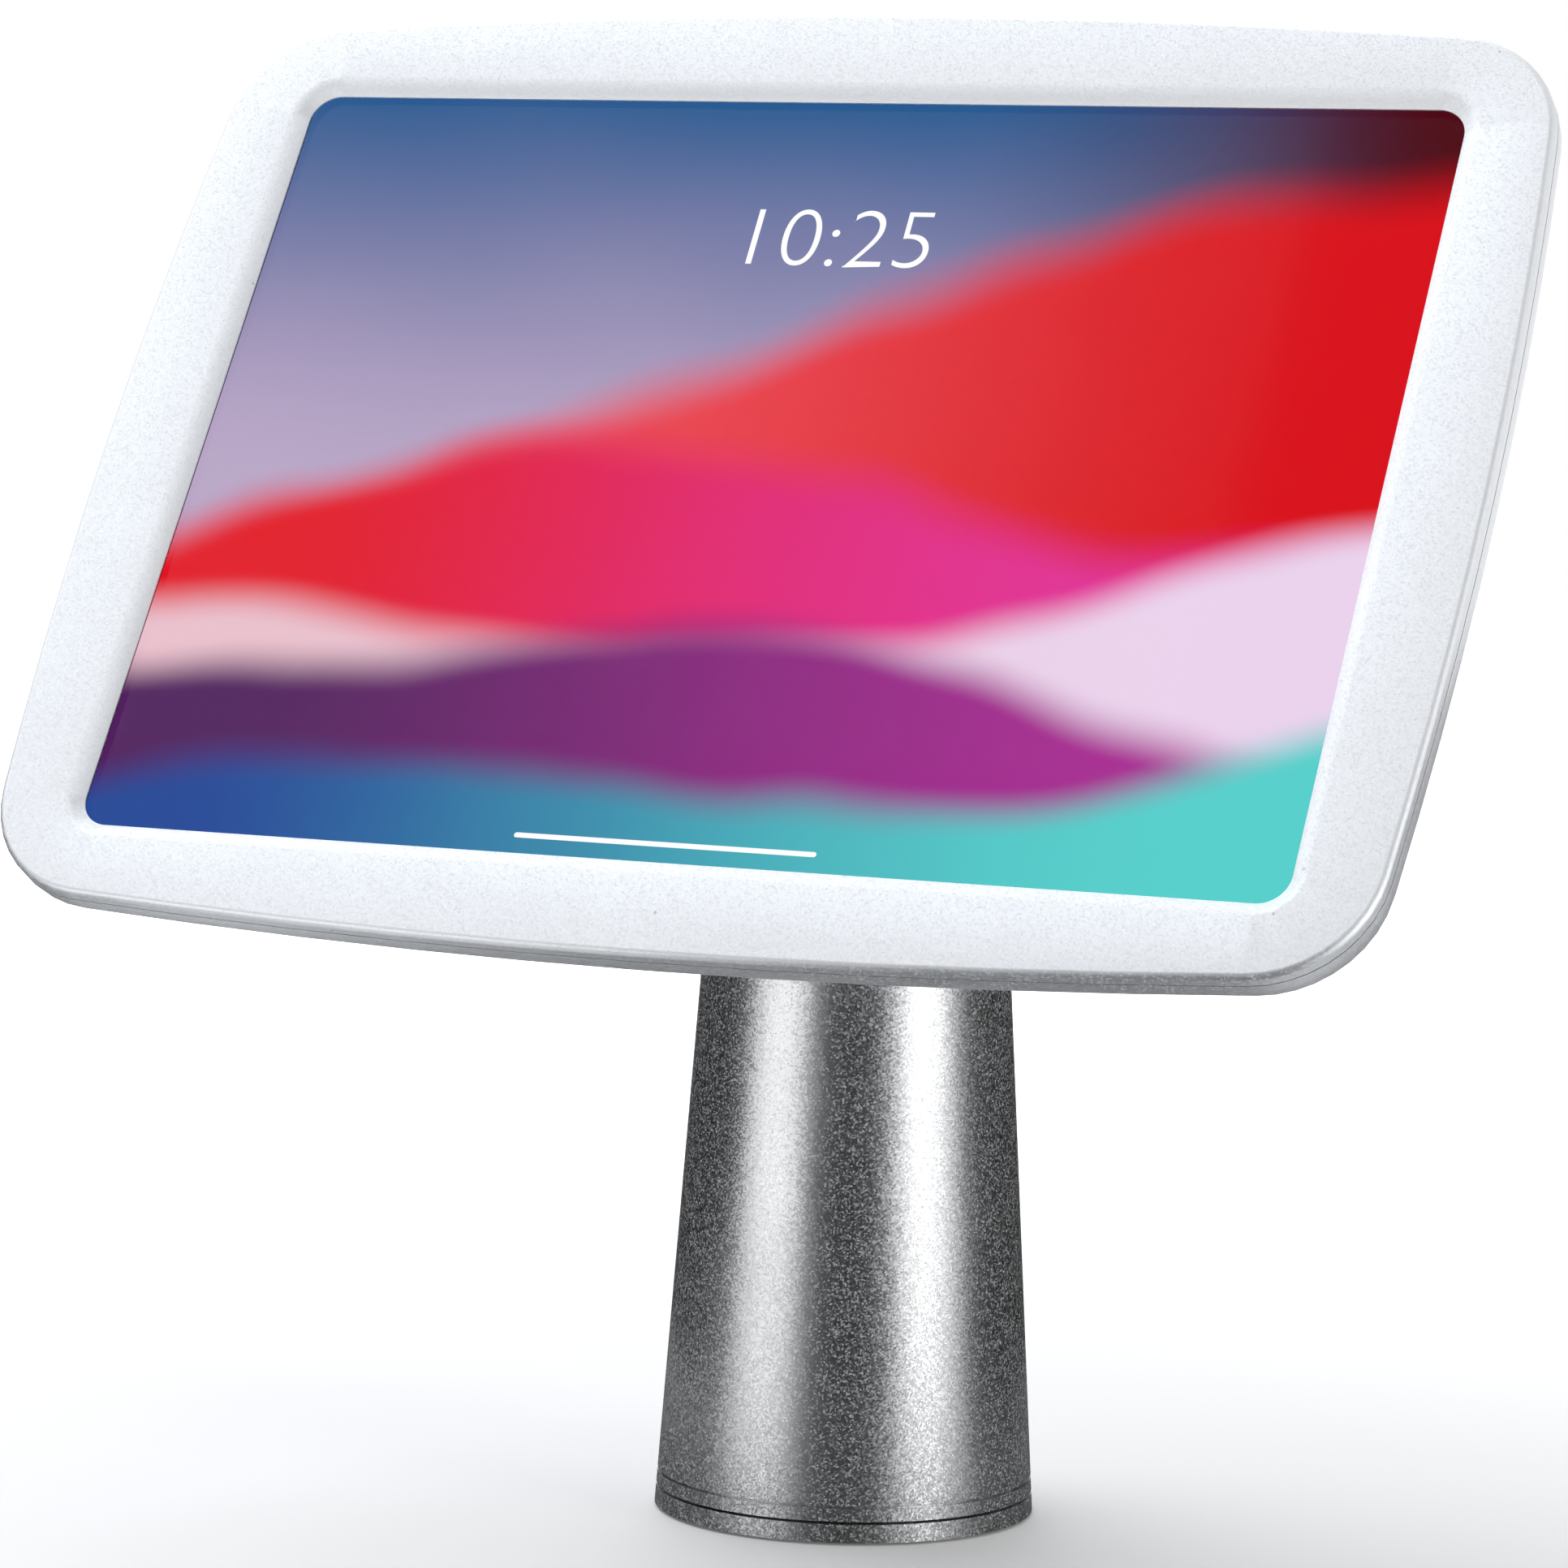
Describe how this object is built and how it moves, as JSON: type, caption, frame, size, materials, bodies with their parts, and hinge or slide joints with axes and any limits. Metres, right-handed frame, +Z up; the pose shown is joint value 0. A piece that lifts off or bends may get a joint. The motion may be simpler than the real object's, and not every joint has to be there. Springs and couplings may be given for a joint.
{
  "type": "tablet security kiosk stand",
  "caption": "Counter stand that holds a tablet in a closed white frame on a tapered silver pedestal; it swivels, tilts and turns to portrait.",
  "frame": {"origin": "centre of the foot on the counter, on the axis of the cable bore", "axes": "+Z up along the pedestal, the screen faces -Y and leans back, +X to the right seen from the front"},
  "size_m": [0.2706, 0.1376, 0.2798],
  "materials": {
    "white_coat": "fine-grained matt powder coat",
    "silver_coat": "metallic powder coat",
    "black_coat": "matt powder coat",
    "ballast_iron": "rough",
    "steel": "plain",
    "bearing_plastic": "plain",
    "black_rubber": "matt",
    "tablet_metal": "bead-blasted",
    "battery_wrap": "plain",
    "board_green": "plain",
    "display": "lit picture",
    "cover_glass": "polished"
  },
  "bodies": {
    "base": {"base_foot": "silver_coat", "foot_pad": "black_rubber", "swivel_spindle": "steel", "thrust_washer": "bearing_plastic", "friction_washer": "bearing_plastic", "disc_spring": "steel", "spindle_nut": "steel", "swivel_stop_pin": "steel"},
    "column": {"swivel_carrier": "silver_coat", "cone_shell": "silver_coat", "carrier_screws": "steel", "ballast_weight": "ballast_iron", "tilt_yoke": "silver_coat", "tilt_ears": "silver_coat", "yoke_set_screws": "steel", "yoke_grommet": "black_rubber", "tilt_bolts": "steel", "tilt_spring_washers": "steel", "tilt_friction_washers": "bearing_plastic"},
    "tilt_head": {"tilt_bracket": "black_coat", "tilt_cheeks": "black_coat", "rotation_stop_pin": "steel", "rotor_friction_disc": "bearing_plastic"},
    "enclosure": {"rotor_plate": "black_coat", "rotor_spring": "steel", "rotor_nut": "steel", "rotor_screws": "steel", "mount_nuts": "steel", "cable_grommet": "black_rubber", "rear_shell": "white_coat", "front_bezel": "white_coat", "bezel_screws": "steel", "window_gasket": "black_rubber", "cradle_pads": "black_rubber", "back_pads": "black_rubber", "tablet_case": "tablet_metal", "tablet_battery": "battery_wrap", "tablet_board": "board_green", "display_panel": "display", "cover_glass": "cover_glass"},
    "power_key": {"power_button": "tablet_metal"},
    "volume_key": {"volume_button": "tablet_metal"}
  },
  "joints": [
    {"name": "base_swivel", "type": "hinge", "parent": "base", "child": "column", "pos_m": [0, 0, 0], "axis": [0, 0, 1], "range_deg": [-165, 165]},
    {"name": "head_tilt", "type": "hinge", "parent": "column", "child": "tilt_head", "pos_m": [0, 0, 0.166], "axis": [1, 0, 0], "range_deg": [-25, 25]},
    {"name": "head_rotate", "type": "hinge", "parent": "tilt_head", "child": "enclosure", "pos_m": [0, 0, 0.166], "axis": [0, -0.8387, 0.5446], "range_deg": [0, 90]},
    {"name": "power_press", "type": "slide", "parent": "enclosure", "child": "power_key", "axis": [1, 0, 0], "range_m": [0, 0.00035], "stiffness_N_per_m": 1500, "springref_m": -0.0002},
    {"name": "volume_press", "type": "slide", "parent": "enclosure", "child": "volume_key", "axis": [0, -0.5446, -0.8387], "range_m": [0, 0.00035], "stiffness_N_per_m": 1500, "springref_m": -0.0002}
  ]
}
